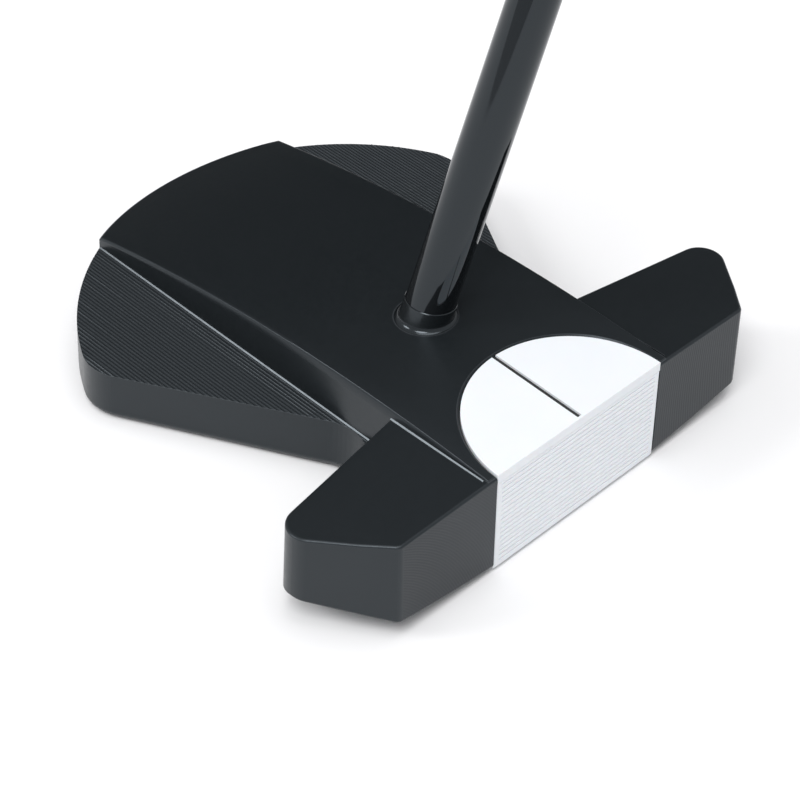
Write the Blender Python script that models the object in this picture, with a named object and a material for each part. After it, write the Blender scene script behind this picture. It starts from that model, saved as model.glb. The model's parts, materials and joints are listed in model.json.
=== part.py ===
"""Mallet putter, modelled as a right-handed club standing in its playing position.

Metres. +X is the heel side, where the shaft leans; -X is the toe; -Y is the target side, where
the face looks; +Y is the rear of the head; +Z is up. The origin is the middle of the flat strip
of the sole, on the ground.
"""
import math

import bmesh
import bpy
from mathutils import Vector

MM = 0.001
GAP = 0.3 * MM                      # space left between two pieces that touch on the real club

# Head, driving dimensions
FACE_Y = -50 * MM                   # leading edge of the face, at the sole
LOFT = math.radians(3)
LIE = math.radians(70)              # angle between the shaft and the ground
RIB_HALF_WIDTH = 23.7 * MM          # raised middle of the head
RIB_CREST_Z = 22.9 * MM
RIB_CREST_Y = FACE_Y + 16 * MM
RIB_TOP_RADIUS = 388 * MM           # the middle falls away to the rear along this arc
FAN_RADIUS = 52 * MM                # rear rim of the head, seen from above
FAN_CENTRE_Y = FACE_Y + 58.3 * MM
FAN_SIDE_ANGLE = math.radians(30)   # each straight side, measured from the Y axis
FAN_APEX_Y = FACE_Y - 5.7 * MM      # where the two straight sides would meet
FAN_CORNER_RADIUS = 8.8 * MM
NECK_RADIUS = 10 * MM               # hollow corner between the fan and the back of the wing
FAN_TOP_Z = 11.5 * MM               # low rear surface, at FAN_CENTRE_Y
FAN_TOP_SLOPE = -0.028
WING_TOP_Z = 22.4 * MM              # at the rib, at the face
WING_END_SLOPE = 0.021              # how far the wing tops fall towards toe and heel
WING_FRONT_X = 44.9 * MM
WING_TIP = (58.9 * MM, FACE_Y + 19.3 * MM)
WING_TIP_RADIUS = 4.5 * MM
WING_BACK_Y = FACE_Y + 24.8 * MM    # back edge of the wing, where it meets the rib
SOLE_FLAT_HALF_WIDTH = 4 * MM
SOLE_CAMBER_RADIUS = 230 * MM       # under the wings; it runs out to a flat sole behind them
CAMBER_FULL_Y = FACE_Y + 16 * MM
CAMBER_END_Y = FACE_Y + 42 * MM

# White face and dome
INSERT_HALF_WIDTH = 21.335 * MM     # half the diameter of a golf ball
INSERT_THICKNESS = 5 * MM
PAD_THICKNESS = 0.8 * MM
DOME_TOP_Z = 23.0 * MM
DOME_THICKNESS = 2.0 * MM
SIGHT_GROOVE_WIDTH = 1.0 * MM
SIGHT_GROOVE_DEPTH = 0.8 * MM

# Screw-in sole weights, one in each wing
WEIGHT_X = 36 * MM
WEIGHT_Y = FACE_Y + 12.5 * MM
WEIGHT_HEAD_RADIUS = 7.0 * MM
WEIGHT_HEAD_BOTTOM_Z = 3.6 * MM
WEIGHT_HEAD_HEIGHT = 3.0 * MM
WEIGHT_SHANK_RADIUS = 5.0 * MM
WEIGHT_SHANK_LENGTH = 8.5 * MM
WEIGHT_SOCKET_RADIUS = 2.6 * MM
WEIGHT_SOCKET_DEPTH = 2.2 * MM
SEAL_SECTION_RADIUS = 0.7 * MM

# Sole plate over the hollow at the rear
PLATE_INSET = 14 * MM               # from the rim of the fan
PLATE_FRONT_Y = FACE_Y + 40 * MM
PLATE_TOP_Z = 4.0 * MM
GASKET_THICKNESS = 0.6 * MM
CAVITY_INSET = 22 * MM
CAVITY_FRONT_Y = FACE_Y + 50 * MM
CAVITY_TOP_Z = 8.6 * MM
SCREW_HEAD_RADIUS = 2.6 * MM
SCREW_HEAD_BOTTOM_Z = 0.3 * MM
SCREW_HEAD_TOP_Z = 1.6 * MM
SCREW_SOCKET_RADIUS = 1.2 * MM
SCREW_SOCKET_DEPTH = 0.8 * MM
SCREW_SHANK_RADIUS = 1.4 * MM
SCREW_LENGTH = 6.0 * MM

# Shaft and grip; heights along the shaft are measured from the foot point on the head
SHAFT_FOOT = Vector((-0.6 * MM, FACE_Y + 39.0 * MM, 22.3 * MM))
CLUB_LENGTH = 863.6 * MM            # along the shaft, from the ground to the end of the cap
SHAFT_TIP_RADIUS = 4.7 * MM
SHAFT_BUTT_RADIUS = 7.35 * MM
SHAFT_WALL = 0.5 * MM
SHAFT_BURIED = 16 * MM              # length inside the head
TAPER_START = 235 * MM
TAPER_END = 545 * MM
BOSS_RADIUS = 5.6 * MM
BOSS_HEIGHT = 4.3 * MM
GRIP_LENGTH = 267 * MM
GRIP_HALF_WIDTH = (10.6 * MM, 13.6 * MM)    # at the mouth, at the cap
GRIP_BEHIND = (10.4 * MM, 16.8 * MM)        # from the shaft's axis to the rounded back
GRIP_FLAT = (10.2 * MM, 10.8 * MM)          # from the shaft's axis to the flat front
GRIP_CAP_THICKNESS = 3 * MM
CAP_PLUG_LENGTH = 12 * MM
TAPE_THICKNESS = 0.4 * MM

AXIS_END = CLUB_LENGTH - SHAFT_FOOT.z / math.sin(LIE)      # top of the cap
GRIP_TOP = AXIS_END - GRIP_CAP_THICKNESS - GAP
GRIP_MOUTH = GRIP_TOP - GRIP_LENGTH
SHAFT_TOP = GRIP_TOP - 1 * MM
RIB_CORNER_ANGLE = math.acos(RIB_HALF_WIDTH / FAN_RADIUS)
FAR = 90 * MM                       # further out than any point of the head, for cutters


# ---------------------------------------------------------------- scene, materials, objects

def clear_scene():
    for thing in list(bpy.data.objects):
        bpy.data.objects.remove(thing, do_unlink=True)


def material(name, colour, roughness, metallic):
    made = bpy.data.materials.new(name)
    made.use_nodes = True
    shader = made.node_tree.nodes["Principled BSDF"]
    shader.inputs["Base Color"].default_value = (*colour, 1.0)
    shader.inputs["Roughness"].default_value = roughness
    shader.inputs["Metallic"].default_value = metallic
    return made


def object_from_mesh(name, mesh, surface=None, parent=None):
    made = bpy.data.objects.new(name, mesh)
    bpy.context.scene.collection.objects.link(made)
    if surface:
        mesh.materials.append(surface)
    if parent:
        made.parent = parent
    return made


def object_from_bmesh(name, shape, surface=None, parent=None):
    bmesh.ops.recalc_face_normals(shape, faces=shape.faces)
    mesh = bpy.data.meshes.new(name)
    shape.to_mesh(mesh)
    shape.free()
    return object_from_mesh(name, mesh, surface, parent)


def smooth(made, angle=math.radians(30)):
    made.data.shade_smooth()
    made.data.set_sharp_from_angle(angle=angle)
    return made


def as_cutter(made):
    made.hide_render = True
    made.display_type = "WIRE"
    return made


def combine(target, other, operation):
    step = target.modifiers.new(other.name, "BOOLEAN")
    step.object = as_cutter(other)
    step.operation = operation
    step.solver = "EXACT"
    return target


def combine_all(target, others, operation):
    """One Boolean with every object in the list."""
    group = bpy.data.collections.new(f"{target.name}_{operation.lower()}")
    for other in others:
        group.objects.link(as_cutter(other))
    step = target.modifiers.new(group.name, "BOOLEAN")
    step.operand_type = "COLLECTION"
    step.collection = group
    step.operation = operation
    step.solver = "EXACT"
    return target


# ---------------------------------------------------------------- outlines and basic solids

def arc(centre, radius, start, end, steps):
    """Points along an arc in the XY plane, both ends included."""
    angles = [start + (end - start) * i / steps for i in range(steps + 1)]
    return [(centre[0] + radius * math.cos(a), centre[1] + radius * math.sin(a)) for a in angles]


def mirrored(right_side):
    """A closed outline from its +X half, given from front to rear."""
    left_side = [(-x, y) for x, y in reversed(right_side) if x > 0]
    return right_side + left_side


def prism(name, outline, bottom, top, surface=None, parent=None):
    """Upright prism. bottom and top are heights, or functions of (x, y) that give a flat plane."""
    shape = bmesh.new()
    low = [shape.verts.new((x, y, bottom)) for x, y in outline]
    base = shape.faces.new(low)
    raised = bmesh.ops.extrude_face_region(shape, geom=[base])["geom"]
    for vertex in (v for v in raised if isinstance(v, bmesh.types.BMVert)):
        vertex.co.z = top(vertex.co.x, vertex.co.y) if callable(top) else top
    return object_from_bmesh(name, shape, surface, parent)


def bridged(name, rings, surface, parent=None):
    """Closed skin over rings that all have the same number of points, last ring joined to the first."""
    shape = bmesh.new()
    loops = [[shape.verts.new(point) for point in ring] for ring in rings]
    for low, high in zip(loops, loops[1:] + loops[:1]):
        for i in range(len(low)):
            after = (i + 1) % len(low)
            shape.faces.new((low[i], low[after], high[after], high[i]))
    return object_from_bmesh(name, shape, surface, parent)


def lofted_box(name, half_width, front, back, bottom, top, surface=None):
    """Box whose front and back follow the loft; front and back are depths behind the face."""
    shape = bmesh.new()
    bmesh.ops.create_cube(shape, size=1)
    for vertex in shape.verts:
        height = top if vertex.co.z > 0 else bottom
        depth = back if vertex.co.y > 0 else front
        side = half_width if vertex.co.x > 0 else -half_width
        vertex.co = (side, FACE_Y + depth / math.cos(LOFT) + height * math.tan(LOFT), height)
    return object_from_bmesh(name, shape, surface)


def turned(name, profile, closed, segments, surface=None, parent=None):
    """Solid of revolution about Z. profile holds (radius, height), down the outer side first."""
    mesh = bpy.data.meshes.new(name)
    points = [(radius, 0, height) for radius, height in profile]
    edges = [(i, i + 1) for i in range(len(points) - 1)]
    if closed:
        edges.append((len(points) - 1, 0))
    mesh.from_pydata(points, edges, [])
    made = object_from_mesh(name, mesh, surface, parent)
    spin = made.modifiers.new("turn", "SCREW")
    spin.axis = "Z"
    spin.steps = segments
    spin.render_steps = segments
    spin.use_merge_vertices = True
    spin.merge_threshold = 0.00001
    spin.use_smooth_shade = False
    return made


def cylinder_cutter(name, radius, bottom, top, segments=40, parent=None):
    return turned(name, [(0, top), (radius, top), (radius, bottom), (0, bottom)], False, segments, parent=parent)


# ---------------------------------------------------------------- outlines of the head

def fan_half(inset, front_y):
    """+X half of the rear fan, drawn in from its rim by inset, from front_y round to the rear."""
    outward = Vector((math.cos(FAN_SIDE_ANGLE), -math.sin(FAN_SIDE_ANGLE)))
    along = Vector((math.sin(FAN_SIDE_ANGLE), math.cos(FAN_SIDE_ANGLE)))
    centre = Vector((0, FAN_CENTRE_Y))
    rim = FAN_RADIUS - inset
    corner = max(FAN_CORNER_RADIUS - inset, 2 * MM)
    side_offset = outward.dot(Vector((0, FAN_APEX_Y)) - centre) - inset - corner
    corner_centre = centre + outward * side_offset
    corner_centre += along * math.sqrt((rim - corner) ** 2 - side_offset ** 2)
    rim_angle = math.atan2(corner_centre.y - centre.y, corner_centre.x)
    front_x = (front_y - FAN_APEX_Y) * math.tan(FAN_SIDE_ANGLE) - inset / math.cos(FAN_SIDE_ANGLE)
    half = [(0, front_y), (front_x, front_y)]
    half += arc(corner_centre, corner, -FAN_SIDE_ANGLE, rim_angle, 8)
    half += arc(centre, rim, rim_angle, RIB_CORNER_ANGLE, 12)[1:]
    half += rear_arc(rim)[1:]
    return half


def neck_half():
    """The front end of the fan's +X side, rounded outwards into the back edge of the wing."""
    outward = Vector((math.cos(FAN_SIDE_ANGLE), -math.sin(FAN_SIDE_ANGLE)))
    along = Vector((math.sin(FAN_SIDE_ANGLE), math.cos(FAN_SIDE_ANGLE)))
    wing_root = Vector((RIB_HALF_WIDTH, WING_BACK_Y))
    wing_edge = (Vector(WING_TIP) - wing_root).normalized()
    rearward = Vector((-wing_edge.y, wing_edge.x))
    centre = Vector((0, FAN_APEX_Y)) + outward * NECK_RADIUS
    centre += along * (NECK_RADIUS - rearward.dot(centre - wing_root)) / rearward.dot(along)
    start = math.atan2(-rearward.y, -rearward.x) + 2 * math.pi
    end = math.atan2(-outward.y, -outward.x)
    inside_wing = FACE_Y + 12 * MM
    return [(0, inside_wing), (centre.x, inside_wing)] + arc(centre, NECK_RADIUS, start, end, 12)


def rear_arc(radius):
    """The stretch of the rear rim that the rib and the fan share, ending on the middle line."""
    return arc((0, FAN_CENTRE_Y), radius, RIB_CORNER_ANGLE, math.pi / 2, 16)


def rib_half():
    """+X half of the rib, from the face to its rounded rear end."""
    return [(0, FACE_Y - 10 * MM), (RIB_HALF_WIDTH, FACE_Y - 10 * MM)] + rear_arc(FAN_RADIUS)


def wing_outline(side):
    """One wing, side +1 for the heel and -1 for the toe."""
    inner = RIB_HALF_WIDTH - 4 * MM
    tip = Vector(WING_TIP)
    front = Vector((WING_FRONT_X, FACE_Y))
    ahead = front - (tip - front) * 0.5
    back = Vector((RIB_HALF_WIDTH, WING_BACK_Y))
    to_front = (front - tip).normalized()
    to_back = (back - tip).normalized()
    half_angle = to_front.angle(to_back) / 2
    centre = tip + (to_front + to_back).normalized() * WING_TIP_RADIUS / math.sin(half_angle)
    start = math.atan2(to_front.x, -to_front.y)
    end = math.atan2(-to_back.x, to_back.y)
    outline = [(inner, ahead.y), tuple(ahead)]
    outline += arc(centre, WING_TIP_RADIUS, start, end, 12)
    outline += [tuple(back), (inner, WING_BACK_Y)]
    return [(side * x, y) for x, y in outline]


def wing_top(x, y):
    return WING_TOP_Z - (y - FACE_Y) * math.tan(LOFT) - (abs(x) - RIB_HALF_WIDTH) * WING_END_SLOPE


def fan_top(x, y):
    return FAN_TOP_Z + (y - FAN_CENTRE_Y) * FAN_TOP_SLOPE


def sole_camber(x):
    """Height of the sole above the ground under the wings, x from the middle of the head."""
    run = max(abs(x) - SOLE_FLAT_HALF_WIDTH, 0)
    return SOLE_CAMBER_RADIUS - math.sqrt(SOLE_CAMBER_RADIUS ** 2 - run ** 2)


def dome_outline(radius):
    """Half-disc behind the top edge of the face, running forward past it."""
    centre = (0, FACE_Y + DOME_TOP_Z * math.tan(LOFT))
    front = FACE_Y - 5 * MM
    return [(-radius, front), (radius, front)] + arc(centre, radius, 0, math.pi, 48)


# ---------------------------------------------------------------- cutters shared by the head pieces

def ground_cutter(name):
    """Everything under the sole: cambered in front, flat behind."""
    reach = 75 * MM
    steps = 16
    half = [SOLE_FLAT_HALF_WIDTH + (reach - SOLE_FLAT_HALF_WIDTH) * i / steps for i in range(steps + 1)]
    spans = [-x for x in reversed(half)] + half
    shape = bmesh.new()
    rings = []
    for y, share in ((-FAR, 1), (CAMBER_FULL_Y, 1), (CAMBER_END_Y, 0), (FAR, 0)):
        ring = [shape.verts.new((x, y, sole_camber(x) * share)) for x in spans]
        ring += [shape.verts.new((x, y, -FAR)) for x in (reach, -reach)]
        rings.append(ring)
    for ahead, behind in zip(rings, rings[1:]):
        for i in range(len(ahead)):
            after = (i + 1) % len(ahead)
            shape.faces.new((ahead[i], ahead[after], behind[after], behind[i]))
    shape.faces.new(rings[0])
    shape.faces.new(rings[-1])
    bmesh.ops.triangulate(shape, faces=[face for face in shape.faces if len(face.verts) == 4])
    return object_from_bmesh(name, shape)


def face_cutter(name):
    """Everything in front of the lofted face."""
    return lofted_box(name, FAR, -30 * MM, 0, -30 * MM, 60 * MM)


# ---------------------------------------------------------------- head body

def rib_solid():
    """Rib: a plan outline cut to the long arc of its top."""
    rib = prism("head_body", mirrored(rib_half()), -5 * MM, 40 * MM)
    above = bmesh.new()
    steps = 28
    front = FACE_Y - 20 * MM
    rear = FAN_CENTRE_Y + FAN_RADIUS + 10 * MM
    arc_centre_z = RIB_CREST_Z - RIB_TOP_RADIUS
    profile = []
    for i in range(steps + 1):
        y = front + (rear - front) * i / steps
        profile.append((y, arc_centre_z + math.sqrt(RIB_TOP_RADIUS ** 2 - (y - RIB_CREST_Y) ** 2)))
    profile += [(rear, FAR), (front, FAR)]
    edge = [above.verts.new((-RIB_HALF_WIDTH - 5 * MM, y, z)) for y, z in profile]
    moved = bmesh.ops.extrude_face_region(above, geom=[above.faces.new(edge)])["geom"]
    span = (2 * RIB_HALF_WIDTH + 10 * MM, 0, 0)
    bmesh.ops.translate(above, vec=span, verts=[v for v in moved if isinstance(v, bmesh.types.BMVert)])
    return combine(rib, object_from_bmesh("cut_above_rib", above), "DIFFERENCE")


def boss_solid(parent):
    """Short collar round the shaft, flared where it grows out of the rib."""
    flare = 1.0 * MM
    profile = [(0, BOSS_HEIGHT), (BOSS_RADIUS, BOSS_HEIGHT), (BOSS_RADIUS, 1.6 * flare)]
    profile += [(BOSS_RADIUS + flare, -2 * flare), (0, -2 * flare)]
    return turned("boss", profile, False, 40, parent=parent)


def weight_places():
    return {"toe": (-WEIGHT_X, WEIGHT_Y), "heel": (WEIGHT_X, WEIGHT_Y)}


def seal_bottom_z():
    return WEIGHT_HEAD_BOTTOM_Z + WEIGHT_HEAD_HEIGHT + GAP


def weight_port_cutters(side, place):
    """Counterbore for the head and the seal, and the threaded hole above it."""
    floor = seal_bottom_z() + 2 * SEAL_SECTION_RADIUS + GAP
    hole_top = WEIGHT_HEAD_BOTTOM_Z + WEIGHT_HEAD_HEIGHT + WEIGHT_SHANK_LENGTH + GAP
    counterbore = cylinder_cutter(f"cut_counterbore_{side}", WEIGHT_HEAD_RADIUS + GAP, -10 * MM, floor)
    hole = cylinder_cutter(f"cut_hole_{side}", WEIGHT_SHANK_RADIUS + GAP, 0, hole_top)
    for cutter in (counterbore, hole):
        cutter.location = (*place, 0)
    return [counterbore, hole]


def screw_places():
    """Four screws on the land between the rim of the plate and the hollow."""
    land_radius = FAN_RADIUS - (PLATE_INSET + CAVITY_INSET) / 2
    rear_angle = math.radians(50)
    rear = (land_radius * math.cos(rear_angle), FAN_CENTRE_Y + land_radius * math.sin(rear_angle))
    front = (15 * MM, FACE_Y + 56 * MM)
    return [front, (-front[0], front[1]), rear, (-rear[0], rear[1])]


def insert_cutters():
    """Pocket behind the face, and the half-round pocket in the top."""
    half_width = INSERT_HALF_WIDTH + GAP
    back = INSERT_THICKNESS + PAD_THICKNESS + 2 * GAP
    floor = DOME_TOP_Z - DOME_THICKNESS - GAP
    face_pocket = lofted_box("cut_insert_pocket", half_width, -5 * MM, back, -20 * MM, 40 * MM)
    dome_pocket = prism("cut_dome_pocket", dome_outline(half_width), floor, 40 * MM)
    return [face_pocket, dome_pocket]


def plate_cutters():
    """Recess for the sole plate, the hollow above it and the screw holes."""
    recess_top = PLATE_TOP_Z + GASKET_THICKNESS + 2 * GAP
    recess_outline = mirrored(fan_half(PLATE_INSET - GAP, PLATE_FRONT_Y - GAP))
    cutters = [prism("cut_plate_recess", recess_outline, -20 * MM, recess_top)]
    cavity_outline = mirrored(fan_half(CAVITY_INSET, CAVITY_FRONT_Y))
    cutters.append(prism("cut_cavity", cavity_outline, 0, CAVITY_TOP_Z))
    for i, place in enumerate(screw_places()):
        top = SCREW_HEAD_TOP_Z + SCREW_LENGTH + GAP
        hole = cylinder_cutter(f"cut_screw_hole_{i}", SCREW_SHANK_RADIUS + GAP, 0, top, 20)
        hole.location = (*place, 0)
        cutters.append(hole)
    return cutters


def head_body(surface, shaft_line):
    body = rib_solid()
    body.data.materials.append(surface)
    fan_outline = mirrored(neck_half() + fan_half(0, WING_BACK_Y)[2:])
    added = [prism("fan", fan_outline, -5 * MM, fan_top)]
    for side, sign in (("toe", -1), ("heel", 1)):
        added.append(prism(f"wing_{side}", wing_outline(sign), -5 * MM, wing_top))
    added.append(boss_solid(shaft_line))
    combine_all(body, added, "UNION")

    removed = [ground_cutter("cut_ground"), face_cutter("cut_face")]
    removed += insert_cutters()
    removed += plate_cutters()
    for side, place in weight_places().items():
        removed += weight_port_cutters(side, place)
    bore_bottom = -SHAFT_BURIED - GAP
    removed.append(cylinder_cutter("cut_bore", SHAFT_TIP_RADIUS + GAP, bore_bottom, FAR, parent=shaft_line))
    return combine_all(body, removed, "DIFFERENCE")


# ---------------------------------------------------------------- face, dome and sight line

def face_insert(surface):
    top = DOME_TOP_Z - DOME_THICKNESS - GAP
    insert = lofted_box("face_insert", INSERT_HALF_WIDTH, 0, INSERT_THICKNESS, -5 * MM, top, surface)
    return combine(insert, ground_cutter("cut_ground_insert"), "DIFFERENCE")


def insert_pad(surface):
    """Elastomer layer that bonds the insert to the back of its pocket."""
    front = INSERT_THICKNESS + GAP
    top = DOME_TOP_Z - DOME_THICKNESS - 2 * GAP
    edge = 1 * MM
    return lofted_box("insert_pad", INSERT_HALF_WIDTH - edge, front, front + PAD_THICKNESS, 2 * edge, top, surface)


def alignment_dome(surface):
    bottom = DOME_TOP_Z - DOME_THICKNESS
    dome = prism("alignment_dome", dome_outline(INSERT_HALF_WIDTH), bottom, DOME_TOP_Z, surface)
    combine(dome, face_cutter("cut_face_dome"), "DIFFERENCE")
    half = SIGHT_GROOVE_WIDTH / 2
    start = FACE_Y + DOME_TOP_Z * math.tan(LOFT) + half
    corners = [(-half, start), (half, start), (half, 0), (-half, 0)]
    groove = prism("cut_sight_groove", corners, DOME_TOP_Z - SIGHT_GROOVE_DEPTH, DOME_TOP_Z + 5 * MM)
    return combine(dome, groove, "DIFFERENCE")


def sight_line(surface):
    """Black fill in the bottom of the sight groove."""
    half = SIGHT_GROOVE_WIDTH / 4
    start = FACE_Y + DOME_TOP_Z * math.tan(LOFT) + 4 * half
    end = FACE_Y + DOME_TOP_Z * math.tan(LOFT) + INSERT_HALF_WIDTH - GAP
    bottom = DOME_TOP_Z - SIGHT_GROOVE_DEPTH + GAP
    corners = [(-half, start), (half, start), (half, end), (-half, end)]
    return prism("sight_line", corners, bottom, bottom + GAP, surface)


# ---------------------------------------------------------------- weights

def sole_weight(side, place, surface):
    head_top = WEIGHT_HEAD_HEIGHT
    edge = 0.4 * MM
    profile = [(0, head_top + WEIGHT_SHANK_LENGTH), (WEIGHT_SHANK_RADIUS - edge, head_top + WEIGHT_SHANK_LENGTH)]
    profile += [(WEIGHT_SHANK_RADIUS, head_top + WEIGHT_SHANK_LENGTH - edge), (WEIGHT_SHANK_RADIUS, head_top)]
    profile += [(WEIGHT_HEAD_RADIUS, head_top), (WEIGHT_HEAD_RADIUS, edge), (WEIGHT_HEAD_RADIUS - edge, 0), (0, 0)]
    weight = turned(f"{side}_weight", profile, False, 40, surface)
    weight.location = (*place, WEIGHT_HEAD_BOTTOM_Z)
    hexagon = arc((0, 0), WEIGHT_SOCKET_RADIUS, 0, 2 * math.pi, 6)[:-1]
    socket = prism(f"cut_socket_{side}", hexagon, -5 * MM, WEIGHT_SOCKET_DEPTH, parent=weight)
    return combine(weight, socket, "DIFFERENCE")


def weight_seal(side, place, surface):
    """O-ring under the head of the weight."""
    ring_radius = (WEIGHT_SHANK_RADIUS + GAP + WEIGHT_HEAD_RADIUS) / 2
    circle = arc((ring_radius, SEAL_SECTION_RADIUS), SEAL_SECTION_RADIUS, math.pi / 2, -1.5 * math.pi, 10)[:-1]
    seal = turned(f"{side}_weight_seal", circle, True, 36, surface)
    seal.location = (*place, seal_bottom_z())
    return seal


# ---------------------------------------------------------------- sole plate, gasket and screws

def sole_plate(surface):
    outline = mirrored(fan_half(PLATE_INSET, PLATE_FRONT_Y))
    plate = prism("sole_plate", outline, -5 * MM, PLATE_TOP_Z, surface)
    removed = [ground_cutter("cut_ground_plate")]
    for i, place in enumerate(screw_places()):
        head = cylinder_cutter(f"cut_head_{i}", SCREW_HEAD_RADIUS + GAP, -5 * MM, SCREW_HEAD_TOP_Z + GAP, 28)
        shank = cylinder_cutter(f"cut_shank_{i}", SCREW_SHANK_RADIUS + GAP, 0, 20 * MM, 20)
        for cutter in (head, shank):
            cutter.location = (*place, 0)
            removed.append(cutter)
    return combine_all(plate, removed, "DIFFERENCE")


def sole_gasket(surface):
    """Flat ring between the plate and the land round the hollow."""
    margin = 0.5 * MM
    outer = mirrored(fan_half(PLATE_INSET + margin, PLATE_FRONT_Y + margin))
    inner = mirrored(fan_half(CAVITY_INSET - margin, CAVITY_FRONT_Y - margin))
    bottom = PLATE_TOP_Z + GAP
    top = bottom + GASKET_THICKNESS
    corners = ((outer, bottom), (outer, top), (inner, top), (inner, bottom))
    rings = [[(x, y, height) for x, y in outline] for outline, height in corners]
    gasket = bridged("sole_gasket", rings, surface)
    holes = []
    for i, place in enumerate(screw_places()):
        hole = cylinder_cutter(f"cut_gasket_hole_{i}", SCREW_SHANK_RADIUS + GAP, 0, 20 * MM, 20)
        hole.location = (*place, 0)
        holes.append(hole)
    return combine_all(gasket, holes, "DIFFERENCE")


def plate_screw(number, place, surface):
    head_top = SCREW_HEAD_TOP_Z - SCREW_HEAD_BOTTOM_Z
    profile = [(0, head_top + SCREW_LENGTH), (SCREW_SHANK_RADIUS, head_top + SCREW_LENGTH)]
    profile += [(SCREW_SHANK_RADIUS, head_top), (SCREW_HEAD_RADIUS, head_top), (SCREW_HEAD_RADIUS, 0), (0, 0)]
    screw = turned(f"sole_plate_screw_{number}", profile, False, 24, surface)
    screw.location = (*place, SCREW_HEAD_BOTTOM_Z)
    hexagon = arc((0, 0), SCREW_SOCKET_RADIUS, 0, 2 * math.pi, 6)[:-1]
    socket = prism(f"cut_screw_socket_{number}", hexagon, -5 * MM, SCREW_SOCKET_DEPTH, parent=screw)
    return combine(screw, socket, "DIFFERENCE")


# ---------------------------------------------------------------- shaft

def shaft_axis():
    """Empty at the foot of the shaft, its Z axis along the shaft."""
    line = bpy.data.objects.new("shaft_axis", None)
    bpy.context.scene.collection.objects.link(line)
    line.location = SHAFT_FOOT
    line.rotation_euler = (0, math.pi / 2 - LIE, 0)
    return line


def shaft(surface, shaft_line):
    outer = [(SHAFT_BUTT_RADIUS, SHAFT_TOP), (SHAFT_BUTT_RADIUS, TAPER_END)]
    outer += [(SHAFT_TIP_RADIUS, TAPER_START), (SHAFT_TIP_RADIUS, -SHAFT_BURIED)]
    inner = [(radius - SHAFT_WALL, height) for radius, height in reversed(outer)]
    return turned("shaft", outer + inner, True, 40, surface, shaft_line)


def shaft_tip_plug(surface, shaft_line):
    radius = SHAFT_TIP_RADIUS - SHAFT_WALL - GAP
    top = 12 * MM - SHAFT_BURIED
    profile = [(0, top), (radius, top), (radius, -SHAFT_BURIED), (0, -SHAFT_BURIED)]
    return turned("shaft_tip_plug", profile, False, 28, surface, shaft_line)


# ---------------------------------------------------------------- grip

def grip_section(height, points=36, shrink=0.0):
    """Cross-section of the grip: round behind, flat on the side away from the player (-X)."""
    rise = min(max((height - GRIP_MOUTH) / GRIP_LENGTH, 0), 1)
    swell = rise * rise * (3 - 2 * rise)
    half_width = GRIP_HALF_WIDTH[0] + (GRIP_HALF_WIDTH[1] - GRIP_HALF_WIDTH[0]) * rise - shrink
    behind = GRIP_BEHIND[0] + (GRIP_BEHIND[1] - GRIP_BEHIND[0]) * swell - shrink
    flat = GRIP_FLAT[0] + (GRIP_FLAT[1] - GRIP_FLAT[0]) * rise - shrink
    bulge = 1.22                    # the front would reach this far past the flat if it were round
    ring = []
    for i in range(points):
        angle = 2 * math.pi * i / points
        reach = behind if math.cos(angle) > 0 else flat * bulge
        ring.append((max(reach * math.cos(angle), -flat), half_width * math.sin(angle), height))
    return ring


def circle_ring(radius, height, points=36):
    return [(x, y, height) for x, y in arc((0, 0), radius, 0, 2 * math.pi, points)[:-1]]


def grip(surface, shaft_line):
    bore = SHAFT_BUTT_RADIUS + TAPE_THICKNESS + 2 * GAP
    stations = 16
    lip = 1.2 * MM
    rings = [circle_ring(bore, GRIP_TOP), circle_ring(bore, GRIP_MOUTH)]
    rings.append(grip_section(GRIP_MOUTH, shrink=lip / 2))
    rings += [grip_section(GRIP_MOUTH + lip + (GRIP_LENGTH - lip) * i / stations) for i in range(stations + 1)]
    return bridged("grip", rings, surface, shaft_line)


def grip_tape(surface, shaft_line):
    inner = SHAFT_BUTT_RADIUS + GAP
    outer = inner + TAPE_THICKNESS
    top = SHAFT_TOP - 2 * MM
    bottom = GRIP_MOUTH + 3 * MM
    return turned("grip_tape", [(outer, top), (outer, bottom), (inner, bottom), (inner, top)], True, 40,
                  surface, shaft_line)


def grip_cap(surface, shaft_line):
    """End cap that closes the grip, with a plug inside the shaft and a vent hole."""
    plug = SHAFT_BUTT_RADIUS - SHAFT_WALL - GAP
    vent = 1.2 * MM
    bottom = GRIP_TOP + GAP
    plug_end = bottom - CAP_PLUG_LENGTH
    edge = 0.8 * MM
    rings = [circle_ring(vent, AXIS_END), circle_ring(vent, plug_end), circle_ring(plug, plug_end)]
    rings += [circle_ring(plug, bottom), [(x, y, bottom) for x, y, _ in grip_section(GRIP_TOP)]]
    rings.append([(x, y, AXIS_END - edge) for x, y, _ in grip_section(GRIP_TOP)])
    rings.append([(x, y, AXIS_END) for x, y, _ in grip_section(GRIP_TOP, shrink=edge)])
    return bridged("grip_cap", rings, surface, shaft_line)


# ---------------------------------------------------------------- the whole club

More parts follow.
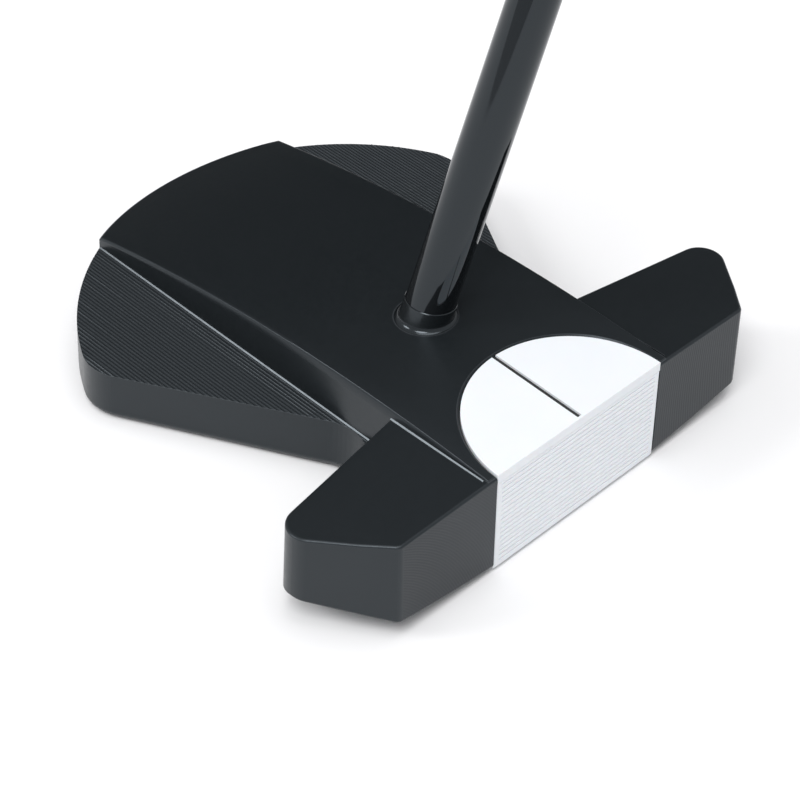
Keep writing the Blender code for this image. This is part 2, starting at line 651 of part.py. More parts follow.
def build():
    clear_scene()
    anodised = material("black_anodised", (0.012, 0.012, 0.014), 0.38, 0.6)
    white = material("white_urethane", (0.86, 0.87, 0.88), 0.45, 0.0)
    ink = material("sight_line_black", (0.01, 0.01, 0.01), 0.5, 0.0)
    pad = material("pad_elastomer", (0.12, 0.12, 0.12), 0.8, 0.0)
    plate_steel = material("plate_steel", (0.10, 0.10, 0.105), 0.3, 1.0)
    weight_steel = material("weight_steel", (0.22, 0.22, 0.23), 0.28, 1.0)
    screw_steel = material("screw_steel", (0.05, 0.05, 0.055), 0.35, 1.0)
    rubber = material("seal_rubber", (0.02, 0.02, 0.02), 0.7, 0.0)
    shaft_black = material("shaft_black", (0.008, 0.008, 0.01), 0.08, 0.0)
    cork = material("plug_cork", (0.45, 0.30, 0.17), 0.9, 0.0)
    tape = material("tape_paper", (0.75, 0.70, 0.58), 0.85, 0.0)
    grip_rubber = material("grip_rubber", (0.025, 0.025, 0.028), 0.75, 0.0)
    cap_plastic = material("cap_plastic", (0.02, 0.02, 0.022), 0.45, 0.0)

    shaft_line = shaft_axis()
    smooth(head_body(anodised, shaft_line))
    face_insert(white)
    insert_pad(pad)
    smooth(alignment_dome(white))
    sight_line(ink)
    for side, place in weight_places().items():
        smooth(sole_weight(side, place, weight_steel))
        smooth(weight_seal(side, place, rubber))
    smooth(sole_plate(plate_steel))
    sole_gasket(pad)
    for number, place in enumerate(screw_places(), start=1):
        smooth(plate_screw(number, place, screw_steel))
    smooth(shaft(shaft_black, shaft_line))
    smooth(shaft_tip_plug(cork, shaft_line))
    smooth(grip_tape(tape, shaft_line))
    smooth(grip(grip_rubber, shaft_line))
    smooth(grip_cap(cap_plastic, shaft_line))


build()
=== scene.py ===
import json
import math

import bmesh
import bpy
from mathutils import Matrix, Vector


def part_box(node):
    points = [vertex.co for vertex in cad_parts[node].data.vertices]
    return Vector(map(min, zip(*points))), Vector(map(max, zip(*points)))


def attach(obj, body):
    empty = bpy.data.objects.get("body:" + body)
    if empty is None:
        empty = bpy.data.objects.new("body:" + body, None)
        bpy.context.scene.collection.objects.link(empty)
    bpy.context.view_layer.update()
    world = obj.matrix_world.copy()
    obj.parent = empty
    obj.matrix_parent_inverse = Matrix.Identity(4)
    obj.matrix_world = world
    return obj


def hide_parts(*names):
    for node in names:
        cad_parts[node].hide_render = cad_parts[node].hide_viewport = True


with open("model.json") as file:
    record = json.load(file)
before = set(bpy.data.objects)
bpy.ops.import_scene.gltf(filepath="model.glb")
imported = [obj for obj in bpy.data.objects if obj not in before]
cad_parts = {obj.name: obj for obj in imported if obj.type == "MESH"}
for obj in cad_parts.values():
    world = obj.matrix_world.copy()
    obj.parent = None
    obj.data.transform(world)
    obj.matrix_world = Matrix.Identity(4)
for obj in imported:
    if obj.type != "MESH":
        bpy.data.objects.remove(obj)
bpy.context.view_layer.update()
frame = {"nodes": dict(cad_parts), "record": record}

# Mallet putter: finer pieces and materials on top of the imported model, in the same frame.
# Metres. +X is the heel, -Y the face, +Z up; the sole rests on z = 0.

MM = 0.001
TINY = 0.01 * MM
SAME_PLACE = 1e-7                    # points nearer than this count as one
head_low, head_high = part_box("head_body")
insert_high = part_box("face_insert")[1]
dome_low, dome_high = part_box("alignment_dome")
plate_low, plate_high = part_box("sole_plate")
grip_mount = next(mount for mount in frame["record"]["mounts"] if mount["name"] == "grip")

# Head
FACE_Y = head_low.y
REAR_Y = head_high.y
LOFT = math.radians(3)
RIB_HALF_WIDTH = 23.7 * MM
RIB_CREST_Z = 22.9 * MM
RIB_CREST_Y = FACE_Y + 16 * MM
RIB_TOP_RADIUS = 388 * MM
RIB_EDGE = 0.5 * MM
RIB_CROWN = 4 * MM                # width of the crowned strip along each long edge
RIB_CROWN_DROP = 0.1 * MM
RIB_BOTTOM_Z = 9.5 * MM
FAN_RADIUS = 52 * MM
FAN_CENTRE_Y = REAR_Y - FAN_RADIUS
FAN_SIDE_ANGLE = math.radians(30)
FAN_OUTWARD = Vector((math.cos(FAN_SIDE_ANGLE), -math.sin(FAN_SIDE_ANGLE)))
FAN_ALONG = Vector((math.sin(FAN_SIDE_ANGLE), math.cos(FAN_SIDE_ANGLE)))
FAN_APEX_Y = FACE_Y - 5.7 * MM
FAN_CORNER_RADIUS = 8.8 * MM
FAN_TOP_Z = 11.5 * MM
FAN_TOP_SLOPE = -0.028
FAN_FOOT = 2.0 * MM                 # rounding of the lower edge
FLUTE_PITCH = 0.7 * MM
FLUTE_DEPTH = 0.13 * MM
FLUTE_LAND = 0.12 * MM              # flat top left between two flutes
FLUTE_LIP = 0.22 * MM               # bright broken edge round the fluted surface
FLUTE_START_X = RIB_HALF_WIDTH + 0.35 * MM
NECK_RADIUS = 10 * MM
WING_TOP_Z = 22.4 * MM
WING_END_SLOPE = 0.021
WING_FRONT_X = 44.9 * MM
WING_FRONT_RADIUS = 1.8 * MM
WING_TIP = (58.9 * MM, FACE_Y + 19.3 * MM)
WING_TIP_RADIUS = 4.5 * MM
WING_BACK_Y = FACE_Y + 24.8 * MM
WING_EDGE = 0.55 * MM
WING_FOOT = 1.2 * MM
LOFT_FULL_Y = FACE_Y + 1 * MM        # the lean of the face fades out along the wings' sides
LOFT_END_Y = FACE_Y + 9 * MM
SOLE_FLAT_HALF_WIDTH = 4 * MM
SOLE_CAMBER_RADIUS = 230 * MM
CAMBER_FULL_Y = FACE_Y + 16 * MM
CAMBER_END_Y = FACE_Y + 42 * MM
RIB_CORNER_ANGLE = math.acos(RIB_HALF_WIDTH / FAN_RADIUS)

# White face and dome
HALF_BALL = insert_high.x
DOME_CENTRE_Y = FACE_Y + dome_high.z * math.tan(LOFT)
DOME_GAP = 0.12 * MM                # dark line round the white top
POCKET_CHAMFER = 0.55 * MM
GROOVE_COUNT = 18
GROOVE_PITCH = 1.06 * MM
GROOVE_WIDTH = 0.42 * MM
GROOVE_DEPTH = 0.22 * MM
SIGHT_HALF_WIDTH = 0.5 * MM
SIGHT_DEPTH = 0.8 * MM
SIGHT_START_Y = DOME_CENTRE_Y + 0.5 * MM

# Screws and weights in the sole
SCREW_SEGMENTS = 64
WEIGHT_SHANK_RADIUS = 5.0 * MM
WEIGHT_SEAT_DEPTH = 5 * MM            # from the weight's outer face to the seat of its seal

# Shaft and grip
SHAFT_LINE = Vector(grip_mount["axis"])
SHAFT_LEAN = math.asin(SHAFT_LINE.x)
FOOT_Z = 22.3 * MM
SHAFT_FOOT = Vector(grip_mount["pos_m"])
SHAFT_FOOT = SHAFT_FOOT - SHAFT_LINE * ((SHAFT_FOOT.z - FOOT_Z) / SHAFT_LINE.z)
SHAFT_TIP_RADIUS = 4.7 * MM
SHAFT_BUTT_RADIUS = 7.35 * MM
SHAFT_BURIED = 16 * MM
TAPER_START = 235 * MM
TAPER_END = 545 * MM
BOSS_RADIUS = 4.9 * MM
BOSS_HEIGHT = 3.4 * MM
CLUB_LENGTH = 863.6 * MM
CAP_THICKNESS = 3 * MM
PIECE_GAP = 0.3 * MM
AXIS_END = CLUB_LENGTH - FOOT_Z / SHAFT_LINE.z
GRIP_TOP = AXIS_END - CAP_THICKNESS - PIECE_GAP
GRIP_LENGTH = 267 * MM
GRIP_MOUTH = GRIP_TOP - GRIP_LENGTH
SHAFT_TOP = GRIP_TOP - 1 * MM
GRIP_HALF_WIDTH = (10.6 * MM, 13.6 * MM)
GRIP_BEHIND = (10.4 * MM, 16.8 * MM)
GRIP_FLAT = (10.2 * MM, 10.8 * MM)
GRIP_POINTS = 144                    # round one cross-section
to_shaft = Matrix.Translation(SHAFT_FOOT) @ Matrix.Rotation(SHAFT_LEAN, 4, "Y")


# ---------------------------------------------------------------- outlines

def arc(centre, radius, start, end, steps):
    angles = [start + (end - start) * i / steps for i in range(steps + 1)]
    return [(centre[0] + radius * math.cos(a), centre[1] + radius * math.sin(a)) for a in angles]


def circle(radius, points):
    return arc((0, 0), radius, 0, 2 * math.pi, points)[:-1]


def at_height(outline, z):
    return [(x, y, z) for x, y in outline]


def fade(value, none, full):
    """0 at none and before, 1 at full and beyond."""
    return min(max((value - none) / (full - none), 0), 1)


def mirrored(right_side):
    """Outline whose +X half is given, front to rear."""
    return right_side + [(-x, y) for x, y in reversed(right_side) if x > TINY]


def rounded(corners):
    """Outline through (x, y, radius) corners."""
    step = math.radians(7)
    outline = []
    for i, (x, y, radius) in enumerate(corners):
        if not radius:
            outline.append((x, y))
            continue
        here = Vector((x, y))
        before = (Vector(corners[i - 1][:2]) - here).normalized()
        after = (Vector(corners[(i + 1) % len(corners)][:2]) - here).normalized()
        half = before.angle(after) / 2
        centre = here + (before + after).normalized() * radius / math.sin(half)
        start = here + before * radius / math.tan(half) - centre
        end = here + after * radius / math.tan(half) - centre
        first = math.atan2(start.y, start.x)
        turn = (math.atan2(end.y, end.x) - first + math.pi) % (2 * math.pi) - math.pi
        outline += arc(centre, radius, first, first + turn, max(2, math.ceil(abs(turn) / step)))
    return outline


def fan_half(inset, front_y):
    """+X half of the rear fan, drawn in from its rim by inset, from front_y round to the rear."""
    smallest_corner = 2 * MM
    centre = Vector((0, FAN_CENTRE_Y))
    rim = FAN_RADIUS - inset
    corner = max(FAN_CORNER_RADIUS - inset, smallest_corner)
    side_offset = FAN_OUTWARD.dot(Vector((0, FAN_APEX_Y)) - centre) - inset - corner
    corner_centre = centre + FAN_OUTWARD * side_offset
    corner_centre += FAN_ALONG * math.sqrt((rim - corner) ** 2 - side_offset ** 2)
    rim_angle = math.atan2(corner_centre.y - centre.y, corner_centre.x)
    front_x = (front_y - FAN_APEX_Y) * math.tan(FAN_SIDE_ANGLE) - inset / math.cos(FAN_SIDE_ANGLE)
    half = [(0, front_y), (front_x, front_y)]
    half += arc(corner_centre, corner, -FAN_SIDE_ANGLE, rim_angle, 16)
    half += arc(centre, rim, rim_angle, math.pi / 2, 40)[1:]
    return half


def neck_half():
    """The front end of the fan's +X side, rounded outwards into the back edge of the wing."""
    wing_root = Vector((RIB_HALF_WIDTH, WING_BACK_Y))
    wing_edge = (Vector(WING_TIP) - wing_root).normalized()
    rearward = Vector((-wing_edge.y, wing_edge.x))
    centre = Vector((0, FAN_APEX_Y)) + FAN_OUTWARD * NECK_RADIUS
    centre += FAN_ALONG * (NECK_RADIUS - rearward.dot(centre - wing_root)) / rearward.dot(FAN_ALONG)
    start = math.atan2(-rearward.y, -rearward.x) + 2 * math.pi
    end = math.atan2(-FAN_OUTWARD.y, -FAN_OUTWARD.x)
    inside_wing = FACE_Y + 12 * MM
    return [(0, inside_wing), (centre.x, inside_wing)] + arc(centre, NECK_RADIUS, start, end, 20)


def rib_top(y):
    return RIB_CREST_Z - RIB_TOP_RADIUS + math.sqrt(RIB_TOP_RADIUS ** 2 - (y - RIB_CREST_Y) ** 2)


def rib_surface(x, y):
    """Top of the rib, falling a little towards its long edges."""
    near_edge = max(abs(x) - RIB_HALF_WIDTH + RIB_CROWN, 0) / RIB_CROWN
    return rib_top(y) - RIB_CROWN_DROP * near_edge ** 2


def wing_top(x, y):
    outward = max(abs(x) - RIB_HALF_WIDTH, 0)
    return WING_TOP_Z - (y - FACE_Y) * math.tan(LOFT) - outward * WING_END_SLOPE


def fan_top(x, y):
    return FAN_TOP_Z + (y - FAN_CENTRE_Y) * FAN_TOP_SLOPE


def sole_height(x, y):
    """The sole: cambered from heel to toe under the wings, running out to a flat behind them."""
    run = max(abs(x) - SOLE_FLAT_HALF_WIDTH, 0)
    rise = SOLE_CAMBER_RADIUS - math.sqrt(SOLE_CAMBER_RADIUS ** 2 - run ** 2)
    return rise * fade(y, CAMBER_END_Y, CAMBER_FULL_Y)


# ---------------------------------------------------------------- solids

def spread(start, end, count):
    return [start + (end - start) * i / count for i in range(count + 1)]


def raised(outline, bottom, top, across=(), along=(), rim=0.0, foot=0.0, segments=4, lip=0.0):
    """Solid over an outline, between the surfaces bottom(x, y) and top(x, y).

    Extra rows of points lie at x = across and y = along, so that it follows curved surfaces. The upper edge
    is rounded by rim, the lower by foot, in so many segments; lip draws a line inside the upper edge."""
    middle = [sum(values) / len(outline) for values in zip(*outline)]
    height = top(*middle) - bottom(*middle)
    shape = bmesh.new()
    floor = shape.faces.new([shape.verts.new((x, y, 0)) for x, y in outline])
    for item in bmesh.ops.extrude_face_region(shape, geom=[floor])["geom"]:
        if isinstance(item, bmesh.types.BMVert):
            item.co.z = height
    bmesh.ops.recalc_face_normals(shape, faces=shape.faces[:])
    for level, radius in ((height, rim), (0, foot)):
        if radius:
            edges = [edge for edge in shape.edges if all(abs(v.co.z - level) < TINY for v in edge.verts)]
            bmesh.ops.bevel(shape, geom=edges, offset=radius, offset_type="OFFSET", segments=segments,
                            profile=0.5, affect="EDGES", clamp_overlap=False)
    if lip:
        ceiling = [face for face in shape.faces if all(v.co.z > height - TINY for v in face.verts)]
        bmesh.ops.inset_region(shape, faces=ceiling, thickness=lip, use_even_offset=True, use_boundary=True)
    planes = [((x, 0, 0), (1, 0, 0)) for x in across] + [((0, y, 0), (0, 1, 0)) for y in along]
    for place, normal in planes:
        everything = shape.verts[:] + shape.edges[:] + shape.faces[:]
        bmesh.ops.bisect_plane(shape, geom=everything, dist=SAME_PLACE, plane_co=place, plane_no=normal)
    for vertex in shape.verts:
        place = vertex.co
        share = place.z / height
        place.z = bottom(place.x, place.y) * (1 - share) + top(place.x, place.y) * share
    return shape


def leant_back(shape):
    """Carries the loft of the face into the front of a shape, fading out along its sides."""
    for vertex in shape.verts:
        vertex.co.y += vertex.co.z * math.tan(LOFT) * fade(vertex.co.y, LOFT_END_Y, LOFT_FULL_Y)
    return shape


def lofted(rings, closed=False):
    """Skin over rings of equal length: a solid with end caps, or a closed tube."""
    shape = bmesh.new()
    loops = [[shape.verts.new(point) for point in ring] for ring in rings]
    pairs = list(zip(loops, loops[1:])) + ([(loops[-1], loops[0])] if closed else [])
    for low, high in pairs:
        for i in range(len(low)):
            after = (i + 1) % len(low)
            shape.faces.new((low[i], low[after], high[after], high[i]))
    if not closed:
        shape.faces.new(list(reversed(loops[0])))
        shape.faces.new(loops[-1])
    return shape


def turned(profile, segments=96, closed=False):
    """Solid of revolution about Z from (radius, height) points; a point on the axis closes an end."""
    shape = bmesh.new()
    loops = []
    for radius, height in profile:
        if radius < SAME_PLACE:
            loops.append([shape.verts.new((0, 0, height))])
            continue
        loops.append([shape.verts.new(point) for point in at_height(circle(radius, segments), height)])
    pairs = list(zip(loops, loops[1:])) + ([(loops[-1], loops[0])] if closed else [])
    for low, high in pairs:
        for i in range(segments):
            after = (i + 1) % segments
            corners = [low[i % len(low)], low[after % len(low)], high[after % len(high)], high[i % len(high)]]
            shape.faces.new(list(dict.fromkeys(corners)))
    return shape


def solid(name, shapes, place=None):
    """One object from several shapes."""
    mesh = bpy.data.meshes.new(name)
    whole = bmesh.new()
    for shape in shapes:
        bmesh.ops.recalc_face_normals(shape, faces=shape.faces[:])
        part = bpy.data.meshes.new("part")
        shape.to_mesh(part)
        shape.free()
        whole.from_mesh(part)
        bpy.data.meshes.remove(part)
    if place:
        whole.transform(place)
    whole.to_mesh(mesh)
    whole.free()
    made = bpy.data.objects.new(name, mesh)
    bpy.context.scene.collection.objects.link(made)
    return made


def cut(piece, cutters):
    """Takes the cutters away from the piece in one Boolean, and removes them."""
    group = bpy.data.collections.new("cutters")
    for cutter in cutters:
        group.objects.link(cutter)
    step = piece.modifiers.new("cut", "BOOLEAN")
    step.operand_type = "COLLECTION"
    step.collection = group
    step.operation = "DIFFERENCE"
    step.solver = "EXACT"
    result = bpy.data.meshes.new_from_object(piece.evaluated_get(bpy.context.evaluated_depsgraph_get()))
    piece.modifiers.clear()
    piece.data = result
    for cutter in cutters:
        bpy.data.objects.remove(cutter)
    bpy.data.collections.remove(group)
    return piece


def joined(name, pieces):
    """One object from several."""
    whole = bmesh.new()
    for piece in pieces:
        whole.from_mesh(piece.data)
        bpy.data.objects.remove(piece)
    mesh = bpy.data.meshes.new(name)
    whole.to_mesh(mesh)
    whole.free()
    made = bpy.data.objects.new(name, mesh)
    bpy.context.scene.collection.objects.link(made)
    return made


def finished(piece, surface, body, node=None, angle=38):
    """Smooth shading, material, slot, body and the CAD node that the piece stands for."""
    piece.data.materials.clear()
    piece.data.materials.append(surface)
    piece.data.shade_smooth()
    piece.data.set_sharp_from_angle(angle=math.radians(angle))
    weighting = piece.modifiers.new("even shading", "WEIGHTED_NORMAL")
    weighting.keep_sharp = True
    weighting.weight = 60
    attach(piece, body)
    if node:
        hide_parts(node)
    return piece


# ---------------------------------------------------------------- materials

COOL = (0.82, 0.92, 1.0, 1)          # tint of the black coats' reflections
NOISE_SPAN = (0.3, 0.7)              # most of a noise's values lie in here
NARROW_SPAN = (0.35, 0.65)
FULL_SPAN = (0.0, 1.0)
WEAR_AND_HIGHLIGHT_SPAN = (0.0, 0.25)
MIX_FACTOR, MIX_A, MIX_B, MIX_RESULT = 0, 6, 7, 2      # colour sockets of a Mix node


def set_stops(scale, stops):
    """Fills a colour ramp with (position, colour) stops."""
    while len(scale.elements) < len(stops):
        scale.elements.new(0.5)
    for element, (position, colour) in zip(scale.elements, stops):
        element.position = position
        element.color = (*colour, 1)


class Nodes:
    """Short ways to add and join shader nodes of one material."""

    def __init__(self, name):
        self.material = bpy.data.materials.new(name)
        self.material.use_nodes = True
        self.tree = self.material.node_tree
        self.shader = self.tree.nodes["Principled BSDF"]

    def settle(self, node, settings):
        """Sets sockets, an underscore standing for a space in their names, and other settings."""
        for key, value in settings.items():
            socket = key.replace("_", " ")
            if socket in node.inputs:
                node.inputs[socket].default_value = value
            else:
                setattr(node, key, value)

    def base(self, **settings):
        self.settle(self.shader, settings)

    def add(self, kind, **settings):
        node = self.tree.nodes.new(kind)
        self.settle(node, settings)
        return node

    def join(self, source, output, target, socket):
        self.tree.links.new(source.outputs[output], target.inputs[socket])

    def coordinates(self, scale, shift=(0, 0, 0)):
        """Object coordinates in metres, scaled and shifted."""
        mapping = self.add("ShaderNodeMapping", Scale=scale, Location=shift)
        self.join(self.add("ShaderNodeTexCoord"), "Object", mapping, "Vector")
        return mapping

    def noise(self, scale, detail=3.0, roughness=0.5, stretch=(1, 1, 1)):
        made = self.add("ShaderNodeTexNoise", Scale=scale, Detail=detail, Roughness=roughness)
        self.join(self.coordinates(stretch), "Vector", made, "Vector")
        return made

    def rings(self, direction, scale, shift, flattened, **settings):
        """Rings about a point or an axis."""
        made = self.add("ShaderNodeTexWave", wave_type="RINGS", rings_direction=direction, Scale=scale)
        self.settle(made, settings)
        self.join(self.coordinates(flattened, shift), "Vector", made, "Vector")
        return made

    def ramp(self, source, output, span, values):
        """Scales an output from one span of values to another."""
        made = self.add("ShaderNodeMapRange", From_Min=span[0], From_Max=span[1],
                        To_Min=values[0], To_Max=values[1])
        self.join(source, output, made, "Value")
        return made

    def colours(self, texture, *stops):
        """Colour by a texture's value, from (value, colour) stops."""
        made = self.add("ShaderNodeValToRGB")
        set_stops(made.color_ramp, stops)
        self.join(texture, "Fac", made, "Fac")
        return made

    def tint(self, texture, low, high, span=NOISE_SPAN):
        """Base colour between two colours by a texture."""
        tone = self.colours(texture, (span[0], low), (span[1], high))
        self.join(tone, "Color", self.shader, "Base Color")

    def wear_and_highlight_tint(self, texture, low, high, span, edge, edge_colour):
        """The same, with another colour on outer edges, where a softened normal differs from the true one:
        wear on the steel, a painted highlight on the black coat.
        """
        tone = self.colours(texture, (span[0], low), (span[1], high))
        soft = self.add("ShaderNodeBevel", samples=6, Radius=edge)
        apart = self.add("ShaderNodeVectorMath", operation="DISTANCE")
        self.join(soft, "Normal", apart, 0)
        self.join(self.add("ShaderNodeNewGeometry"), "Normal", apart, 1)
        mix = self.add("ShaderNodeMix", data_type="RGBA")
        self.join(self.ramp(apart, "Value", WEAR_AND_HIGHLIGHT_SPAN, FULL_SPAN), "Result", mix, MIX_FACTOR)
        self.join(tone, "Color", mix, MIX_A)
        mix.inputs[MIX_B].default_value = (*edge_colour, 1)
        self.join(mix, MIX_RESULT, self.shader, "Base Color")

    def roughen(self, texture, low, high, span=NOISE_SPAN):
        """Roughness between two values by a texture."""
        self.join(self.ramp(texture, "Fac", span, (low, high)), "Result", self.shader, "Roughness")

    def relief(self, *layers):
        """Bump from (texture, strength, height) layers, one on top of the other."""
        below = None
        for texture, strength, height in layers:
            bump = self.add("ShaderNodeBump", Strength=strength, Distance=height)
            self.join(texture, "Fac", bump, "Height")
            if below:
                self.join(below, "Normal", bump, "Normal")
            below = bump
        self.join(below, "Normal", self.shader, "Normal")


def scaled(colour, share):
    return tuple(part * share for part in colour)


def black_anodised():
    """Satin black over fine milling: grain, faint tool lines, and a painted highlight along the outer edges.
    """
    m = Nodes("black_anodised")
    m.base(Specular_IOR_Level=0.47, Specular_Tint=COOL)
    cloud = m.noise(60)
    # painted highlight: the outer edges get a lighter grey, standing in for the bright lines that light draws
    # along them
    m.wear_and_highlight_tint(cloud, (0.0072, 0.0092, 0.0106), (0.0080, 0.0101, 0.0116), NOISE_SPAN,
                edge=0.12 * MM, edge_colour=(0.045, 0.05, 0.055))
    m.roughen(m.noise(900, detail=4), 0.30, 0.36)
    grain = m.noise(9000, detail=2)
    tool_lines = m.noise(700, detail=2, stretch=(0.05, 8, 8))
    m.relief((grain, 0.10, 0.02 * MM), (tool_lines, 0.04, 0.01 * MM))
    return m.material


def milled_face():
    """The black ends of the face: arcs left by a wide cutter."""
    m = Nodes("milled_face_black")
    m.base(Specular_IOR_Level=0.38, Specular_Tint=COOL)
    m.tint(m.noise(80), (0.0085, 0.0103, 0.0125), (0.0110, 0.0128, 0.0150))
    arcs = m.rings("SPHERICAL", 620, shift=(0.060, 0, 0.010), flattened=(1, 0, 1),
                   Distortion=0.3, Detail=1.0, Detail_Scale=3.0)
    m.roughen(arcs, 0.31, 0.40, FULL_SPAN)
    m.relief((arcs, 0.4, 0.03 * MM))
    return m.material


def polished_black():
    """The turned collar and the bevels along the rib: smoother than the milled surfaces."""
    m = Nodes("polished_black")
    m.base(Specular_IOR_Level=0.6, Specular_Tint=COOL)
    m.tint(m.noise(90), (0.004, 0.0052, 0.006), (0.005, 0.0064, 0.0073))
    m.roughen(m.noise(700), 0.14, 0.20)
    m.relief((m.noise(2200, detail=2, stretch=(0.3, 0.3, 3)), 0.04, 0.01 * MM))
    return m.material


def white_urethane():
    m = Nodes("white_urethane")
    m.base(Specular_IOR_Level=0.45, Subsurface_Weight=0.06, Subsurface_Scale=0.0012)
    m.tint(m.noise(90, detail=4), (0.77, 0.795, 0.825), (0.79, 0.815, 0.84))
    m.roughen(m.noise(300), 0.36, 0.46)
    m.relief((m.noise(5000, detail=2), 0.06, 0.02 * MM))
    return m.material


def paint(name, colour, roughness):
    """Matt paint fill with a slight orange-peel surface."""
    m = Nodes(name)
    cloud = m.noise(400)
    m.tint(cloud, scaled(colour, 0.75), colour)
    m.roughen(cloud, roughness - 0.06, roughness + 0.06)
    m.relief((m.noise(2500, detail=2), 0.2, 0.02 * MM))
    return m.material


def rubber(name, colour, roughness):
    """Soft, faintly dusty surface; colour is its darkest tone."""
    m = Nodes(name)
    m.base(Specular_IOR_Level=0.35, Sheen_Weight=0.15, Sheen_Roughness=0.5)
    m.tint(m.noise(120, detail=5), colour, scaled(colour, 1.35))
    m.roughen(m.noise(700), roughness - 0.08, roughness + 0.08)
    m.relief((m.noise(3500, detail=4), 0.35, 0.06 * MM))
    return m.material


def brushed_metal(name, colour, roughness, stretch, edge_colour):
    """Steel with brush lines along one axis and brighter edges."""
    m = Nodes(name)
    m.base(Metallic=1.0, Anisotropic=0.4)
    lines = m.noise(2600, roughness=0.6, stretch=stretch)
    m.wear_and_highlight_tint(lines, scaled(colour, 0.8), colour, NARROW_SPAN, edge=0.15 * MM, edge_colour=edge_colour)
    m.roughen(lines, roughness - 0.06, roughness + 0.08)
    m.relief((lines, 0.15, 0.01 * MM))
    return m.material


def turned_metal(name, colour, roughness, centre):
    """Steel faced on a lathe: rings about a vertical axis through centre."""
    m = Nodes(name)
    m.base(Metallic=1.0)
    rings = m.rings("Z", 900, shift=(-centre.x, -centre.y, 0), flattened=(1, 1, 0),
                    Distortion=0.6, Detail_Scale=2.0)
    m.tint(rings, scaled(colour, 0.8), colour, FULL_SPAN)
    m.roughen(m.noise(500), roughness - 0.05, roughness + 0.07)
    m.relief((rings, 0.3, 0.01 * MM))
    return m.material


def gloss_black():
    """Gloss black coat on the shaft, faintly uneven along its length."""
    m = Nodes("shaft_black")
    m.base(Specular_IOR_Level=0.6, Specular_Tint=COOL)
    m.tint(m.noise(30, stretch=(1, 1, 0.3)), (0.0022, 0.0028, 0.0032), (0.0030, 0.0036, 0.0042))
    m.roughen(m.noise(400, detail=4), 0.03, 0.06)
    m.relief((m.noise(1500, detail=2, stretch=(1, 1, 0.02)), 0.03, 0.01 * MM))
    return m.material


def cork():
    m = Nodes("plug_cork")
    cells = m.noise(900, detail=5, roughness=0.7)
    tone = m.colours(cells, (0.35, (0.22, 0.12, 0.06)), (0.5, (0.45, 0.29, 0.16)), (0.7, (0.56, 0.40, 0.24)))
    m.join(tone, "Color", m.shader, "Base Color")
    m.roughen(cells, 0.95, 0.8)
    m.relief((cells, 0.5, 0.1 * MM))
    return m.material


def paper_tape():
    m = Nodes("tape_paper")
    crepe = m.noise(800, roughness=0.6, stretch=(1, 1, 4))
    m.tint(crepe, (0.62, 0.56, 0.44), (0.75, 0.70, 0.58), NARROW_SPAN)
    m.roughen(crepe, 0.8, 0.92)
    m.relief((crepe, 0.4, 0.05 * MM))
    return m.material


# ---------------------------------------------------------------- head

def bar_shape():
    """Front of the head: both wings and what lies between them, under the rib."""
    corners = [(0, FACE_Y, 0), (WING_FRONT_X, FACE_Y, WING_FRONT_RADIUS), (*WING_TIP, WING_TIP_RADIUS)]
    corners += [(RIB_HALF_WIDTH, WING_BACK_Y, 0), (0, WING_BACK_Y, 0)]
    across = [side * x for x in spread(1 * MM, 49 * MM, 24) for side in (-1, 1)]
    across += [-RIB_HALF_WIDTH, RIB_HALF_WIDTH]
    along = [CAMBER_FULL_Y, FACE_Y + 21 * MM]
    shape = raised(mirrored(rounded(corners)), sole_height, wing_top, across, along, WING_EDGE, WING_FOOT)
    return leant_back(shape)


def rib_shape():
    """Crowned middle of the head; its front stands a hair behind the wings' fronts."""
    hair = 0.03 * MM
    front = FACE_Y + hair + RIB_CREST_Z * math.tan(LOFT)
    right = [(0, front), (RIB_HALF_WIDTH, front)]
    right += arc((0, FAN_CENTRE_Y), FAN_RADIUS, RIB_CORNER_ANGLE, math.pi / 2, 32)
    stations = spread(front, FAN_CENTRE_Y + FAN_RADIUS, 56)[1:-1]
    crown = []
    for share in (1, 0.75, 0.5, 0.25):
        crown += [side * (RIB_HALF_WIDTH - RIB_CROWN * share) for side in (-1, 1)]
    return raised(mirrored(right), lambda x, y: RIB_BOTTOM_Z, rib_surface, crown, stations, RIB_EDGE)


def flute(x):
    """Depth of the fluted surface below its lands, x from the middle of the head."""
    along = ((abs(x) - FLUTE_START_X) / FLUTE_PITCH) % 1.0
    land = FLUTE_LAND / FLUTE_PITCH
    if abs(x) < FLUTE_START_X or along < land:
        return 0.0
    fullness = 0.8                      # below 1, the flute is wider at its bottom than a sine
    return FLUTE_DEPTH * math.sin(math.pi * (along - land) / (1 - land)) ** fullness


def fan_shape():
    """Low rear of the head with its fluted top."""
    right = neck_half() + fan_half(0, WING_BACK_Y)[2:]
    count = int((head_high.x - FLUTE_START_X) / FLUTE_PITCH)
    rows = (0.0, 0.17, 0.27, 0.40, 0.585, 0.77, 0.90)      # where points lie across one pitch
    stations = [FLUTE_START_X + (i + row) * FLUTE_PITCH for i in range(count) for row in rows]
    widest = max(x for x, y in right)
    across = [side * x for x in stations if x < widest for side in (-1, 1)]
    along = spread(CAMBER_FULL_Y, CAMBER_END_Y, 6)
    lift = 0.02 * MM                    # keeps its foot inside the bar
    rim_drop = 1.1 * FLUTE_DEPTH

    def bottom(x, y):
        return sole_height(x, y) + (lift if y < WING_BACK_Y else 0)

    shape = raised(mirrored(right), bottom, fan_top, across, along, 0, FAN_FOOT, lip=FLUTE_LIP)
    shape.normal_update()
    for vertex in shape.verts:
        place = vertex.co
        if place.z > fan_top(place.x, place.y) - TINY:
            on_rim = any(abs(face.normal.z) < 0.5 for face in vertex.link_faces)
            place.z -= rim_drop if on_rim else flute(place.x)
    return shape


